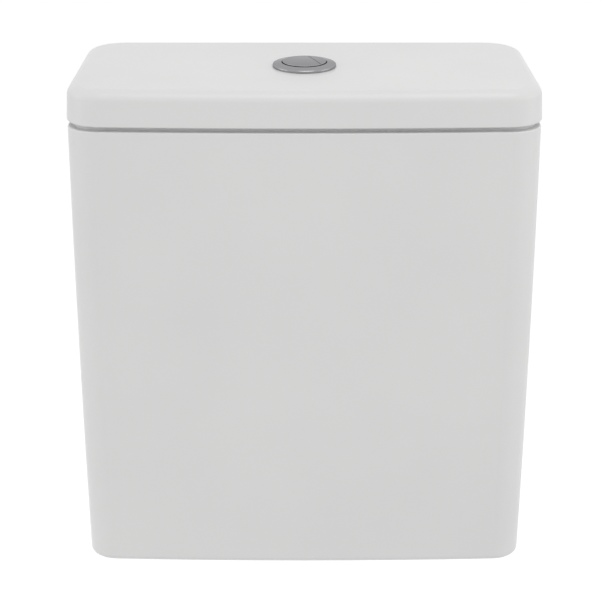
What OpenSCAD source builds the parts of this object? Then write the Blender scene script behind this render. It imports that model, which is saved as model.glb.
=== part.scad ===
// Close-coupled ceramic toilet cistern with a dual-flush push button in its lid.
// Origin: the flush outlet's axis on the tank's underside. +Z is up, +Y points to the wall, -Y to the user.

/* [Tank] */
// Height of the rim's outer ledge above the underside
tank_height = 357.5; // [330:0.5:420]
// Width across the rim
tank_top_width = 358; // [340:1:400]
// Width across the foot
tank_bottom_width = 343; // [330:1:400]
// Outlet axis to the front at the rim, at the corners
tank_top_front = 77; // [72:0.5:95]
// Outlet axis to the front at the foot, at the corners
tank_bottom_front = 67.5; // [64:0.5:90]
// Outlet axis to the wall
wall_distance = 85.5; // [76:0.5:105]
// How far the front swells between its corners
front_bow = 3.6; // [0:0.1:8]
// How far the sides and front swell between foot and rim
side_swell = 0.9; // [0:0.1:3]
// How much narrower each side is at the wall than at the front
back_narrowing = 6.6; // [0:0.1:12]
// Radius of the upright front corners
tank_corner = 23; // [16:0.5:32]
// Radius of the upright back corners
tank_back_corner = 28; // [16:0.5:36]
// Radius of the outer edge round the foot
foot_radius = 5; // [1:0.5:8]
// Radius of the outer edge of the rim
rim_radius = 2; // [1:0.5:3]
// Width of the ledge round the outside of the rim
rim_ledge = 6; // [4:0.5:7]
// Thickness of the ceramic walls
tank_wall = 10; // [8:0.5:12]
// Thickness of the ceramic floor
tank_floor = 12; // [9:0.5:16]
// Depth of the hollow under the floor
recess_depth = 22; // [16:0.5:24]
// Thickness of the foot round that hollow
foot_wall = 14; // [10:0.5:18]
// Radius inside, between walls and floor
cavity_radius = 8; // [3:0.5:12]
// Diameter of the wall fixing holes
wall_hole_diameter = 9; // [7:0.5:12]
// Distance between the wall fixing holes
wall_hole_spacing = 180; // [120:5:220]
// Rim down to the wall fixing holes
wall_hole_drop = 47.5; // [35:0.5:80]

/* [Lid] */
// Height of the lid's visible side
lid_height = 27.7; // [24:0.1:40]
// Gap between the rim's outer ledge and the lid
lid_gap = 3.8; // [2.5:0.1:5]
// How far the lid overhangs each side of the rim
lid_side_overhang = 1; // [0:0.1:4]
// How far the lid overhangs the front of the rim
lid_front_overhang = 1.5; // [0:0.1:5]
// How far the lid stands back from the wall
lid_wall_setback = 0.4; // [0:0.1:4]
// Radius of the lid's upright front corners
lid_corner = 28; // [24:0.5:36]
// Radius of the lid's upright back corners
lid_back_corner = 29; // [17:0.5:37]
// Radius of the lid's upper edge
lid_edge_radius = 8; // [3:0.5:10]
// Radius of the lid's lower edge
lid_hem_radius = 1; // [0.5:0.1:3]
// Inward lean of the lid's sides, in degrees
lid_draft = 2; // [0:0.1:4]
// Thickness of the lid's top
lid_plate = 8; // [6:0.5:11]
// Depth of the locating lip below the lid's lower edge
lid_lip = 8; // [4:0.5:14]
// Thickness of the locating lip
lid_lip_wall = 6; // [4:0.5:9]
// Radius between the lid's inner wall and its top
lid_cavity_radius = 5; // [2:0.5:8]
// Play between the locating lip and the tank's wall
lid_lip_play = 2; // [1:0.5:4]
// Diameter of each lid pad
pad_diameter = 3.5; // [2.5:0.5:4]
// Thickness of each lid pad
pad_thickness = 1; // [0.5:0.1:2]
// Outlet axis to each pair of lid pads, front and back
pad_reach = 45; // [20:1:50]

/* [Push button] */
// Diameter of the bezel
bezel_diameter = 49; // [47:0.5:56]
// Height of the bezel's crest above the lid
bezel_height = 3.4; // [3:0.1:6]
// Height of the bezel's upright side above the lid
bezel_side = 1.3; // [0.6:0.1:1.6]
// Radius between the bezel's side and its sloping top
bezel_edge = 1; // [0.4:0.1:1.5]
// Diameter of the two buttons together
button_diameter = 34; // [34:0.5:36]
// Thickness of each button's cap
button_cap = 3; // [2:0.1:5]
// How far the caps stand above the bezel's crest
button_rise = 0.6; // [0:0.1:1]
// Depth of the hollow in the caps' faces
button_dish = 0.7; // [0.2:0.1:1.2]
// Gap round the caps and between them
button_gap = 0.4; // [0.3:0.1:0.8]
// Travel of each button
button_travel = 8; // [5:0.5:9]
// Button centre to the split between the caps, towards the half-flush cap
split_offset = 9.3; // [7:0.1:10]
// Radius of the split
split_radius = 90; // [20:1:200]
// Direction of the half-flush cap, in degrees from +X towards the wall
split_angle = 20; // [10:1:60]
// Button centre to each push rod
rod_spread = 14.6; // [14:0.1:14.8]
// Diameter of each button's stem
stem_diameter = 3; // [2.5:0.1:3.4]
// Diameter of each push rod
rod_diameter = 5.6; // [5:0.1:5.8]
// Length of stem held in each push rod
stem_grip = 15; // [8:1:20]
// Diameter of the foot on each push rod
rod_foot_diameter = 7; // [6:0.5:8]
// Thickness of that foot
rod_foot = 3; // [2:0.5:5]
// Wall of the button housing
housing_wall = 2.1; // [1.5:0.1:2.5]
// Length of the button housing below the lid's top
housing_length = 31; // [26:1:40]
// Lid's top down to the shelf that guides the stems
shelf_depth = 19; // [17:0.5:21]
// Thickness of that shelf
shelf = 3; // [2:0.5:4]
// Thickness of the housing's flange under the bezel
housing_flange = 1.2; // [0.8:0.1:2]
// Diameter of the lock nut under the lid
lock_nut_diameter = 54; // [48:1:62]
// Thickness of the lock nut
lock_nut = 6; // [4:0.5:9]
// Wire diameter of the return springs
spring_wire = 0.6; // [0.4:0.05:0.6]
// Turns in each return spring
spring_turns = 9; // [6:1:12]

/* [Flush valve] */
// Diameter of the flush outlet's bore
outlet_bore = 48; // [40:0.5:50]
// Outside diameter of the threaded tail
tail_diameter = 59; // [56:0.5:62]
// Length of the tail below the tank
tail_length = 40; // [36:1:60]
// Diameter of the hole in the tank's floor
outlet_hole = 67; // [63:0.5:70]
// Diameter of the valve's flange and floor washer
valve_flange_diameter = 86; // [80:1:96]
// Thickness of the valve's flange
valve_flange = 5; // [3:0.5:8]
// Thickness of the rubber washers on the tank's floor
floor_washer = 3; // [2:0.5:5]
// Height of the seat's lip
seat_lip = 6; // [4:0.5:9]
// Width of the seat's lip
seat_width = 3; // [2:0.5:4]
// Across the corners of the valve's back nut
back_nut_diameter = 82; // [78:1:90]
// Thickness of the valve's back nut
back_nut = 12; // [8:0.5:16]
// Diameter of the coupling gasket
gasket_diameter = 100; // [96:1:112]
// Height of the coupling gasket
gasket_height = 33; // [24:1:35]
// Height of the cage above the flange
cage_height = 66; // [58:1:80]
// Number of legs on the cage
cage_legs = 6; // [5:1:8]
// Width of each cage leg
cage_leg = 7; // [5:0.5:9]
// Thickness of the cage's rings and deck
cage_ring = 6; // [4:0.5:8]
// Outside diameter of the overflow tube
tube_diameter = 28; // [26:0.5:29]
// Wall of the overflow tube
tube_wall = 2; // [1.5:0.1:3]
// Underside of the tank to the top of the overflow tube
overflow_level = 268; // [240:1:270]
// Thickness of the seal
flush_seal = 3; // [2:0.5:5]
// Diameter of the seal
seal_diameter = 62; // [60:0.5:64]
// Thickness of the plate that carries the seal
seal_plate = 4; // [3:0.5:6]
// Lift of the seal at full travel
seal_lift = 16; // [10:0.5:17]
// Underside of the tank to the rockers' pivots
pivot_level = 300; // [298:1:310]
// Pivot to the push rod's pad
pad_arm = 14; // [12:0.5:15]
// Width of each rocker
rocker_width = 8; // [6:0.5:10]
// Thickness of each rocker
rocker_bar = 5; // [4:0.5:6]
// Diameter of the pivot pins
pin_diameter = 4; // [3:0.1:5]
// Diameter of the tower's columns
column_diameter = 5; // [4:0.5:6]
// Tower axis to the columns, sideways
column_x = 20; // [20:0.5:22]
// Tower axis to the columns, front and back
column_y = 12; // [12:0.5:14]
// Thickness of the tower's cheeks
cheek = 5; // [3:0.5:6]
// Thickness of the tower's rings
tower_ring = 4; // [3:0.5:6]
// Diameter of the tower's rings
tower_ring_diameter = 54; // [50:1:60]
// Diameter of the full-flush float
full_float_diameter = 39; // [36:0.5:39]
// Height of each flush float
flush_float_height = 45; // [30:1:50]
// Underside of the tank to the flush floats
flush_float_level = 145; // [140:1:150]
// Width of the half-flush float
half_float_width = 26; // [20:1:34]
// Depth of the half-flush float
half_float_depth = 20; // [16:1:24]
// Thickness of the yoke's and the link's strips
strip = 3; // [2.5:0.1:4]

/* [Fill valve] */
// Middle of the tank's side to the inlet
inlet_inset = 50.25; // [48:0.25:58]
// Outside diameter of the inlet's thread
inlet_thread = 20.96; // [19:0.01:21]
// Length of the inlet below the tank
inlet_length = 38; // [30:1:50]
// Bore of the inlet
inlet_bore = 10; // [8:0.5:12]
// Diameter of the inlet's hole in the tank's floor
inlet_hole = 25; // [22:0.5:28]
// Diameter of the inlet's flange
inlet_flange_diameter = 34; // [30:1:40]
// Thickness of the inlet's flange
inlet_flange = 4; // [3:0.5:6]
// Across the corners of the inlet's back nut
inlet_nut_diameter = 34; // [30:1:40]
// Thickness of the inlet's back nut
inlet_nut = 10; // [6:0.5:12]
// Length of neck inside the riser
neck_length = 22; // [14:1:30]
// Outside diameter of the riser
riser_diameter = 22; // [20:0.5:23]
// Wall of the riser
riser_wall = 2; // [1.5:0.1:2.5]
// Underside of the tank to the valve head
head_level = 256; // [246:1:262]
// Height of the valve head
head_height = 26; // [22:1:30]
// Diameter of the valve head
head_diameter = 34; // [32:0.5:38]
// Thickness of the diaphragm
diaphragm = 2; // [1:0.5:3]
// Thickness of the cap's top
cap_top = 9; // [6:0.5:12]
// Wall of the cap
cap_wall = 1.5; // [1:0.1:2.5]
// How far the cap reaches down over the head
cap_skirt = 8; // [5:0.5:12]
// Valve axis to the lever's pivot
lever_pivot = 15; // [12:0.5:16]
// Cap's top to the collar under the lever, with the float down
lever_rise = 1; // [0.5:0.5:4]
// Valve axis to the float's adjuster
adjuster_reach = 24; // [22:0.5:25]
// Thickness of the lever
lever_bar = 5; // [4:0.5:6]
// Width of the lever
lever_width = 8; // [6:0.5:9]
// Diameter of the adjuster
adjuster_diameter = 5; // [4:0.5:6]
// Length of adjuster above the lever
adjuster_spare = 14; // [8:1:24]
// Diameter of the float
float_diameter = 60; // [54:1:64]
// Height of the float
float_height = 55; // [40:1:60]
// Wall of the float
float_wall = 1.6; // [1.2:0.1:2.5]
// Underside of the tank to the float with the tank empty
float_level = 170; // [150:1:176]
// Travel of the float from empty to shut
float_travel = 14; // [8:0.5:16]
// Valve axis to the refill tube
refill_reach = 38; // [37:0.5:42]
// Outside diameter of the refill tube
refill_diameter = 13; // [10:0.5:14]
// Wall of the refill tube
refill_wall = 1.5; // [1:0.1:2]
// Underside of the tank to the refill tube's mouth
refill_level = 60; // [50:1:90]

/* [Fixings] */
// Distance between the coupling bolts
bolt_spacing = 150; // [146:1:160]
// Thread diameter of the coupling bolts
bolt_diameter = 8; // [6:1:10]
// Length of the bolts below the tank
bolt_length = 52; // [45:1:70]
// Diameter of the bolts' holes in the tank's floor
bolt_hole = 12; // [11:0.5:14]
// Diameter of the bolts' heads
bolt_head_diameter = 22; // [18:1:26]
// Thickness of the bolts' heads
bolt_head = 6; // [4:0.5:8]
// Diameter of the bolts' rubber seals
bolt_seal_diameter = 28; // [24:1:32]
// Thickness of the bolts' rubber seals
bolt_seal = 5; // [3:0.5:7]
// Diameter of the bolts' steel washers
bolt_washer_diameter = 24; // [18:1:28]
// Thickness of the bolts' steel washers
bolt_washer = 2; // [1:0.1:3]
// Across the corners of the bolts' nuts
bolt_nut_diameter = 15; // [13:0.5:20]
// Thickness of the bolts' nuts
bolt_nut = 6.5; // [5:0.5:9]

/* [Clearances] */
// Play of a pin or stem in its hole, on the radius
running_play = 0.05; // [0.02:0.01:0.1]
// Play between parts that slide or nest, on each side
sliding_play = 0.3; // [0.2:0.05:0.5]
// Depth of thread shared by a nut and its bolt, on the radius
thread_depth = 0.35; // [0.2:0.05:0.5]

/* [Hidden] */
$fn = 48;
overcut = 1;
corner_steps = 6;
front_steps = 8;
fillet_steps = 4;
height_steps = 3;
rim_flat_min = 3;

// Floor, lid and rim heights
floor_z = recess_depth + tank_floor;
lid_bottom_z = tank_height + lid_gap;
rim_top_z = lid_bottom_z - pad_thickness;
lid_top_z = lid_bottom_z + lid_height;
lid_ceiling_z = lid_top_z - lid_plate;
lid_half = tank_top_width / 2 + lid_side_overhang;
lid_front = tank_top_front + lid_front_overhang;
lid_back = wall_distance - lid_wall_setback;
lid_lip_inset = tank_wall + lid_side_overhang + lid_lip_play;
lid_skirt_inset = lid_lip_inset + lid_lip_wall;

// Push button, from the lid's top
button_r = button_diameter / 2;
housing_bore_r = button_r + button_gap - 0.1;
housing_r = housing_bore_r + housing_wall;
button_hole_r = housing_r + button_gap;
crest_z = lid_top_z + bezel_height;
cap_top_z = crest_z + button_rise;
cap_under_z = cap_top_z - button_cap;
shelf_top_z = lid_top_z - shelf_depth;
shelf_under_z = shelf_top_z - shelf;
flange_top_z = lid_top_z + housing_flange;
bezel_wall = 1.2;
crest_bevel = 0.3;
stem_r = stem_diameter / 2;
rod_r = rod_diameter / 2;
skirt_bore_r = max(housing_bore_r, rod_spread + rod_r + sliding_play);
rod_top_z = shelf_under_z - sliding_play;
stem_end_z = rod_top_z - stem_grip;

// Flush valve, from the tank's floor up
flange_z = floor_z + floor_washer;
cage_z = flange_z + valve_flange;
seat_z = cage_z + seat_lip;
deck_z = cage_z + cage_height;
seal_plate_z = seat_z + flush_seal;
outlet_r = outlet_bore / 2;
tail_r = tail_diameter / 2;
tail_z = recess_depth - tail_length;
tube_r = tube_diameter / 2;
tube_bore_r = tube_r - tube_wall;
seal_spigot_r = outlet_r - 4;
tower_bore_r = tube_r + 1.5;
tower_ring_levels = [deck_z, deck_z + 24, flush_float_level + flush_float_height + seal_lift + 9];
stop_ring = 4;
stop_ring_r = tube_r + 3;

// Rockers: the pad starts as far above the pivot as it ends below it
rocker_tilt = asin(button_travel / 2 / pad_arm);
lift_arm = seal_lift / 2 / sin(rocker_tilt);
pivot_x = rod_spread + pad_arm * cos(rocker_tilt);
hook_half = 3;
pad_nose_r = rocker_bar / 2 / cos(rocker_tilt) + rod_foot_diameter / 2 * tan(rocker_tilt) + sliding_play;
lift_nose_r = rocker_bar / 2 / cos(rocker_tilt) + hook_half * tan(rocker_tilt) + sliding_play;
rocker_hub_r = pin_diameter / 2 + 3;
rod_foot_z = pivot_level + button_travel / 2 + pad_nose_r + sliding_play;
hook_x = pivot_x + lift_arm * cos(rocker_tilt);
hook_z = pivot_level - seal_lift / 2 + lift_nose_r + sliding_play;
hook_height = 6;
post_x = pivot_x + lift_arm + lift_nose_r + sliding_play;
yoke_z = tower_ring_levels[2] + tower_ring + 14;
yoke_height = 10;
cheek_bottom_z = pivot_level - rocker_hub_r - 1;
cheek_top_z = pivot_level + rocker_hub_r + 1;

// Fill valve, at its own axis
inlet_x = inlet_inset - (tank_top_width + tank_bottom_width) / 4;
inlet_r = inlet_thread / 2;
inlet_z = recess_depth - inlet_length;
neck_z = floor_z + floor_washer + inlet_flange;
riser_r = riser_diameter / 2;
riser_bore_r = riser_r - riser_wall;
head_top_z = head_level + head_height;
cap_z = head_top_z + diaphragm;
cap_top_level = cap_z + cap_top;
cap_r = head_diameter / 2 + running_play + cap_wall;
lever_arm = lever_pivot + adjuster_reach;
lever_tilt = asin(float_travel / 2 / lever_arm);
eye_play = 1.9;
eye_r = adjuster_diameter / 2 + eye_play;
eye_rim = 3.5;
collar_gap = 2;
collar = 3;
eye_z = cap_top_level + lever_rise + collar + collar_gap + lever_bar / 2;
lever_z = eye_z + float_travel / 2;
float_r = float_diameter / 2;
float_bore_r = riser_r + sliding_play + 0.2;
float_top_z = float_level + float_height;
riser_stop = 6;
ear = 3;

// Fixings
bolt_r = bolt_diameter / 2;
engaged_bolt_r = bolt_r - thread_depth;
bolt_head_z = floor_z + bolt_seal;

// Spring, between the shelf and a cap
spring_r = stem_r + spring_wire / 2 + 0.25;
spring_low_z = shelf_top_z + sliding_play;
spring_high_z = cap_under_z - sliding_play;
spring_rings = 8;
spring_sides = 6;
spring_pitch = (spring_high_z - spring_low_z - spring_wire) / spring_turns;
echo(least_spring_gap = spring_pitch - spring_wire);

// Shapes that repeat

// Points on an arc, from one angle to another
function arc(cx, cy, r, from, to) =
    [for (i = [0:corner_steps]) let (a = from + (to - from) * i / corner_steps)
        [cx + r * cos(a), cy + r * sin(a)]];

// Plan of the tank or lid: a bowed front, leaning sides, a flat back and four round corners
function plan(half, front, back, corner, back_corner) =
    let (lean = atan(back_narrowing / (front + back)),
         reach = half - corner,
         slope = atan(2 * front_bow / reach),
         back_half = half - back_narrowing)
    concat(
        [for (i = [1:front_steps - 1]) let (x = reach * (2 * i / front_steps - 1))
            [x, -front - front_bow * (1 - pow(x / reach, 2))]],
        arc(half - corner, corner - front, corner, slope - 90, lean),
        arc(back_half - back_corner, back - back_corner, back_corner, lean, 90),
        arc(back_corner - back_half, back - back_corner, back_corner, 90, 180 - lean),
        arc(corner - half, corner - front, corner, 180 - lean, 270 - slope));

function at_height(points, z) = [for (p = points) [p[0], p[1], z]];

// Closed skin over a row of rings with the same number of points
module loft(rings) {
    n = len(rings[0]);
    m = len(rings);
    sides = [for (j = [0:m - 2], i = [0:n - 1]) let (k = (i + 1) % n, a = j * n, b = a + n)
        each [[a + i, b + i, b + k], [a + i, b + k, a + k]]];
    polyhedron(
        points = [for (ring = rings) each ring],
        faces = concat([[for (i = [0:n - 1]) i]], sides, [[for (i = [n - 1:-1:0]) (m - 1) * n + i]]));
}

// Ring with a flat top and bottom
module ring(outer_r, inner_r, height) {
    difference() {
        cylinder(r = outer_r, h = height);
        translate([0, 0, -overcut]) cylinder(r = inner_r, h = height + 2 * overcut);
    }
}

// Six-sided nut
module hex_nut(across, inner_r, height, sides = 6) {
    difference() {
        cylinder(d = across, h = height, $fn = sides);
        translate([0, 0, -overcut]) cylinder(r = inner_r, h = height + 2 * overcut);
    }
}

module at_bolts() {
    for (side = [-1, 1]) translate([side * bolt_spacing / 2, 0, 0]) children();
}

// Tank and lid

function along_height(low, high, z) =
    let (s = z / tank_height) low + (high - low) * s + side_swell * 4 * s * (1 - s);

function tank_plan(inset, z) =
    at_height(plan(
        along_height(tank_bottom_width / 2, tank_top_width / 2, z) - inset,
        along_height(tank_bottom_front, tank_top_front, z) - inset,
        wall_distance - inset,
        max(tank_corner - inset, rim_flat_min), max(tank_back_corner - inset, rim_flat_min)), z);

// From the hollow below, round the foot, up outside to the ledge and rim, then down inside to the floor
function tank_rings() = concat(
    [for (i = [0:fillet_steps]) let (a = 90 * i / fillet_steps)
        tank_plan(foot_wall + cavity_radius * (1 - sin(a)), recess_depth - cavity_radius * (1 - cos(a)))],
    [tank_plan(foot_wall, 0)],
    [for (i = [0:fillet_steps]) let (a = 90 * i / fillet_steps)
        tank_plan(foot_radius * (1 - sin(a)), foot_radius * (1 - cos(a)))],
    [for (i = [1:height_steps]) let (side = tank_height - rim_radius - foot_radius)
        tank_plan(0, foot_radius + side * i / height_steps)],
    [for (i = [1:fillet_steps]) let (a = 90 * i / fillet_steps)
        tank_plan(rim_radius * (1 - cos(a)), tank_height - rim_radius * (1 - sin(a)))],
    [for (z = [tank_height, rim_top_z]) tank_plan(rim_ledge, z)],
    [for (i = [0:height_steps]) let (low = floor_z + cavity_radius)
        tank_plan(tank_wall, rim_top_z - (rim_top_z - low) * i / height_steps)],
    [for (i = [1:fillet_steps]) let (a = 90 * i / fillet_steps)
        tank_plan(tank_wall + cavity_radius * (1 - cos(a)), floor_z + cavity_radius * (1 - sin(a)))]);

module floor_hole(x, diameter) {
    translate([x, 0, recess_depth - overcut]) cylinder(d = diameter, h = tank_floor + 2 * overcut);
}

module tank() {
    color("whitesmoke") difference() {
        loft(tank_rings());
        floor_hole(0, outlet_hole);
        floor_hole(inlet_x, inlet_hole);
        for (side = [-1, 1]) {
            floor_hole(side * bolt_spacing / 2, bolt_hole);
            translate([side * wall_hole_spacing / 2, wall_distance + overcut, tank_height - wall_hole_drop])
                rotate([90, 0, 0]) cylinder(d = wall_hole_diameter, h = tank_wall + 2 * overcut);
        }
    }
}

function lid_plan(inset, z) =
    at_height(plan(lid_half - inset, lid_front - inset, lid_back - inset,
        max(lid_corner - inset, rim_flat_min), max(lid_back_corner - inset, rim_flat_min)), z);

function lean_in(z) = (z - lid_bottom_z) * tan(lid_draft);

// From the ceiling inside, down to the lip, out under the skirt and up to the top
function lid_rings() = concat(
    [for (i = [0:fillet_steps]) let (a = 90 * i / fillet_steps)
        lid_plan(lid_skirt_inset + lid_cavity_radius * (1 - sin(a)),
                 lid_ceiling_z - lid_cavity_radius * (1 - cos(a)))],
    [for (inset = [lid_skirt_inset, lid_lip_inset]) lid_plan(inset, lid_bottom_z - lid_lip)],
    [lid_plan(lid_lip_inset, lid_bottom_z)],
    [for (i = [0:fillet_steps])
        let (a = 90 * i / fillet_steps, z = lid_bottom_z + lid_hem_radius * (1 - cos(a)))
        lid_plan(lid_hem_radius * (1 - sin(a)) + lean_in(z), z)],
    [for (i = [0:fillet_steps])
        let (a = 90 * i / fillet_steps, z = lid_top_z - lid_edge_radius * (1 - sin(a)))
        lid_plan(lid_edge_radius * (1 - cos(a)) + lean_in(z), z)]);

module lid() {
    color("whitesmoke") difference() {
        loft(lid_rings());
        translate([0, 0, lid_ceiling_z - overcut]) cylinder(r = button_hole_r, h = lid_plate + 2 * overcut);
    }
}

// Pads between rim and lid, on the middle of the rim's top
module lid_pads() {
    lean = back_narrowing / (tank_top_front + wall_distance);
    color("gainsboro") for (side = [-1, 1], y = [-pad_reach, pad_reach]) {
        edge = tank_top_width / 2 - lean * (y + tank_top_front);
        translate([side * (edge - (tank_wall + rim_ledge) / 2), y, rim_top_z])
            cylinder(d = pad_diameter, h = pad_thickness);
    }
}

// Push button

// Hollow ring whose top slopes up from a rounded outer edge to a crest beside the caps
module button_bezel() {
    r = bezel_diameter / 2;
    inner_r = button_r + button_gap;
    low = lid_top_z + sliding_play;
    edge_centre = [r - bezel_edge, lid_top_z + bezel_side];
    crest = [inner_r + crest_bevel, crest_z];
    to_crest = crest - edge_centre;
    edge_end = atan2(to_crest[1], to_crest[0]) - acos(bezel_edge / norm(to_crest));
    edge_steps = 6;
    profile = concat(
        [[inner_r, flange_top_z], [r - bezel_wall, flange_top_z], [r - bezel_wall, low], [r, low]],
        [for (i = [0:edge_steps]) let (a = edge_end * i / edge_steps)
            edge_centre + bezel_edge * [cos(a), sin(a)]],
        [crest, [inner_r, crest_z - crest_bevel]]);
    color("silver") rotate_extrude() polygon(profile);
}

module split_disc(grow) {
    rotate(split_angle) translate([split_offset - split_radius, 0]) circle(r = split_radius + grow);
}

module dished_cap() {
    dish_r = button_r - 0.6;
    dish_steps = 6;
    hollow = concat(
        [for (i = [0:dish_steps]) let (t = i / dish_steps)
            [dish_r * t, cap_top_z - button_dish * (1 - t * t)]],
        [[dish_r, cap_top_z + overcut], [0, cap_top_z + overcut]]);
    difference() {
        translate([0, 0, cap_under_z]) linear_extrude(height = button_cap) children();
        rotate_extrude() polygon(hollow);
    }
}

module stem(x) {
    translate([x, 0, stem_end_z]) cylinder(r = stem_r, h = cap_under_z + button_cap / 2 - stem_end_z);
}

module full_flush_button() {
    color("silver") union() {
        dished_cap() intersection() {
            circle(r = button_r);
            split_disc(-button_gap / 2);
        }
        stem(-rod_spread);
    }
}

module half_flush_button() {
    color("silver") union() {
        dished_cap() difference() {
            circle(r = button_r);
            split_disc(button_gap / 2);
        }
        stem(rod_spread);
    }
}

module button_housing() {
    color("white") difference() {
        union() {
            translate([0, 0, lid_top_z - housing_length]) cylinder(r = housing_r, h = housing_length);
            translate([0, 0, lid_top_z])
                cylinder(r = bezel_diameter / 2 - bezel_wall - sliding_play, h = housing_flange);
        }
        translate([0, 0, shelf_top_z])
            cylinder(r = housing_bore_r, h = shelf_depth + housing_flange + overcut);
        translate([0, 0, lid_top_z - housing_length - overcut])
            cylinder(r = skirt_bore_r, h = housing_length - shelf_depth - shelf + overcut);
        for (side = [-1, 1])
            translate([side * rod_spread, 0, shelf_under_z - overcut])
                cylinder(r = stem_r + running_play, h = shelf + 2 * overcut);
    }
}

module button_lock_nut() {
    color("white") translate([0, 0, lid_ceiling_z - lock_nut])
        hex_nut(lock_nut_diameter, housing_r + running_play, lock_nut, 8);
}

module push_rod(x) {
    translate([x, 0, 0]) difference() {
        union() {
            translate([0, 0, rod_foot_z]) cylinder(d = rod_foot_diameter, h = rod_foot);
            translate([0, 0, rod_foot_z]) cylinder(r = rod_r, h = rod_top_z - rod_foot_z);
        }
        translate([0, 0, stem_end_z - overcut])
            cylinder(r = stem_r + running_play, h = stem_grip + 2 * overcut);
    }
}

module full_flush_rod() { color("dodgerblue") push_rod(-rod_spread); }
module half_flush_rod() { color("white") push_rod(rod_spread); }

// Coil of round wire, each ring square to the wire's run
module return_spring(x) {
    wire_r = spring_wire / 2;
    rings = [for (i = [0:spring_turns * spring_rings])
        let (a = 360 * i / spring_rings, z = spring_low_z + wire_r + spring_pitch * i / spring_rings)
        [for (j = [0:spring_sides - 1]) let (b = 360 * j / spring_sides, r = spring_r + wire_r * sin(b))
            [r * cos(a), r * sin(a), z + wire_r * cos(b)]]];
    translate([x, 0, 0]) loft(rings);
}

module full_button_spring() { color("lightgray") return_spring(-rod_spread); }
module half_button_spring() { color("lightgray") return_spring(rod_spread); }

// Flush valve

module flush_valve_base() {
    color("white") difference() {
        union() {
            translate([0, 0, tail_z]) cylinder(r = tail_r, h = flange_z - tail_z + overcut);
            translate([0, 0, flange_z]) cylinder(d = valve_flange_diameter, h = valve_flange);
            translate([0, 0, cage_z - overcut]) cylinder(r = outlet_r + seat_width, h = seat_lip + overcut);
        }
        translate([0, 0, tail_z - overcut]) cylinder(r = outlet_r, h = seat_z - tail_z + 2 * overcut);
    }
}

module valve_floor_washer() {
    color("dimgray") translate([0, 0, floor_z])
        ring(valve_flange_diameter / 2, tail_r + sliding_play, floor_washer);
}

module valve_back_nut() {
    color("white") translate([0, 0, recess_depth - back_nut])
        hex_nut(back_nut_diameter, tail_r + running_play, back_nut, 8);
}

// Soft ring that nests over the back nut and seals to the pan
module coupling_gasket() {
    nest = back_nut + sliding_play;
    color("black") translate([0, 0, recess_depth - sliding_play]) difference() {
        translate([0, 0, -gasket_height]) cylinder(d = gasket_diameter, h = gasket_height);
        translate([0, 0, -nest]) cylinder(d = back_nut_diameter + 2 * sliding_play, h = nest + overcut);
        translate([0, 0, -gasket_height - overcut]) cylinder(r = tail_r + sliding_play, h = gasket_height);
    }
}

module valve_cage() {
    r = valve_flange_diameter / 2 - 1;
    leg_r = r - cage_leg / 2;
    color("white") translate([0, 0, cage_z]) union() {
        ring(r, r - cage_leg, cage_ring);
        translate([0, 0, cage_height - cage_ring]) ring(r, tower_bore_r, cage_ring);
        for (i = [0:cage_legs - 1]) rotate(360 * (i + 0.5) / cage_legs)
            translate([leg_r - cage_leg / 2, -cage_leg / 2, cage_ring / 2])
                cube([cage_leg * 0.9, cage_leg, cage_height - cage_ring]);
    }
}

// Guide for the half-flush link, on one of the tower's rings
module link_guide(z) {
    slot_x = strip + 2 * sliding_play;
    slot_y = rocker_width + 2 * sliding_play;
    rail = 4;
    inner = tower_bore_r + 4;
    translate([0, 0, z]) difference() {
        translate([inner, -slot_y / 2 - rail, 0])
            cube([post_x + strip + sliding_play + rail - inner, slot_y + 2 * rail, tower_ring]);
        translate([post_x - sliding_play, -slot_y / 2, -overcut])
            cube([slot_x, slot_y, tower_ring + 2 * overcut]);
    }
}

module valve_tower() {
    cheek_x = pivot_x + rocker_hub_r;
    color("white") difference() {
        union() {
            for (z = tower_ring_levels) translate([0, 0, z])
                ring(tower_ring_diameter / 2, tower_bore_r, tower_ring);
            for (x = [-column_x, column_x], y = [-column_y, column_y]) translate([x, y, deck_z])
                cylinder(d = column_diameter, h = cheek_top_z - deck_z - 1);
            for (side = [-1, 1]) translate([-cheek_x, side * column_y - cheek / 2, cheek_bottom_z])
                cube([2 * cheek_x, cheek, cheek_top_z - cheek_bottom_z]);
            for (i = [1, 2]) link_guide(tower_ring_levels[i]);
        }
        for (side = [-1, 1]) translate([side * pivot_x, 0, pivot_level]) rotate([90, 0, 0])
            cylinder(d = pin_diameter + 2 * running_play, h = 4 * column_y, center = true);
    }
}

// Tube that carries the seal, with a stop under the float and another under the yoke
module overflow_tube() {
    color("white") difference() {
        union() {
            translate([0, 0, seat_z]) cylinder(r = tube_r, h = overflow_level - seat_z);
            translate([0, 0, seal_plate_z]) cylinder(d = seal_diameter, h = seal_plate);
            translate([0, 0, seat_z]) cylinder(r = seal_spigot_r, h = flush_seal + overcut);
            for (z = [flush_float_level, yoke_z]) translate([0, 0, z - stop_ring])
                cylinder(r = stop_ring_r, h = stop_ring);
        }
        translate([0, 0, seat_z - overcut])
            cylinder(r = tube_bore_r, h = overflow_level - seat_z + 2 * overcut);
    }
}

module flush_seal() {
    color("firebrick") translate([0, 0, seat_z])
        ring(seal_diameter / 2, seal_spigot_r + running_play, flush_seal);
}

// Float that opens downwards and traps air
module full_flush_float() {
    wall = 1.4;
    top = 3;
    color("royalblue") translate([0, 0, flush_float_level]) difference() {
        ring(full_float_diameter / 2, tube_r + running_play, flush_float_height);
        translate([0, 0, -top])
            ring(full_float_diameter / 2 - wall, tube_r + running_play + wall, flush_float_height);
    }
}

// Hook over a rocker's end, on a post
module hooked_post(low_z) {
    translate([post_x, -rocker_width / 2, low_z]) cube([strip, rocker_width, hook_z + hook_height - low_z]);
    translate([hook_x - hook_half, -rocker_width / 2, hook_z])
        cube([post_x - hook_x + hook_half + strip, rocker_width, hook_height]);
}

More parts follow.
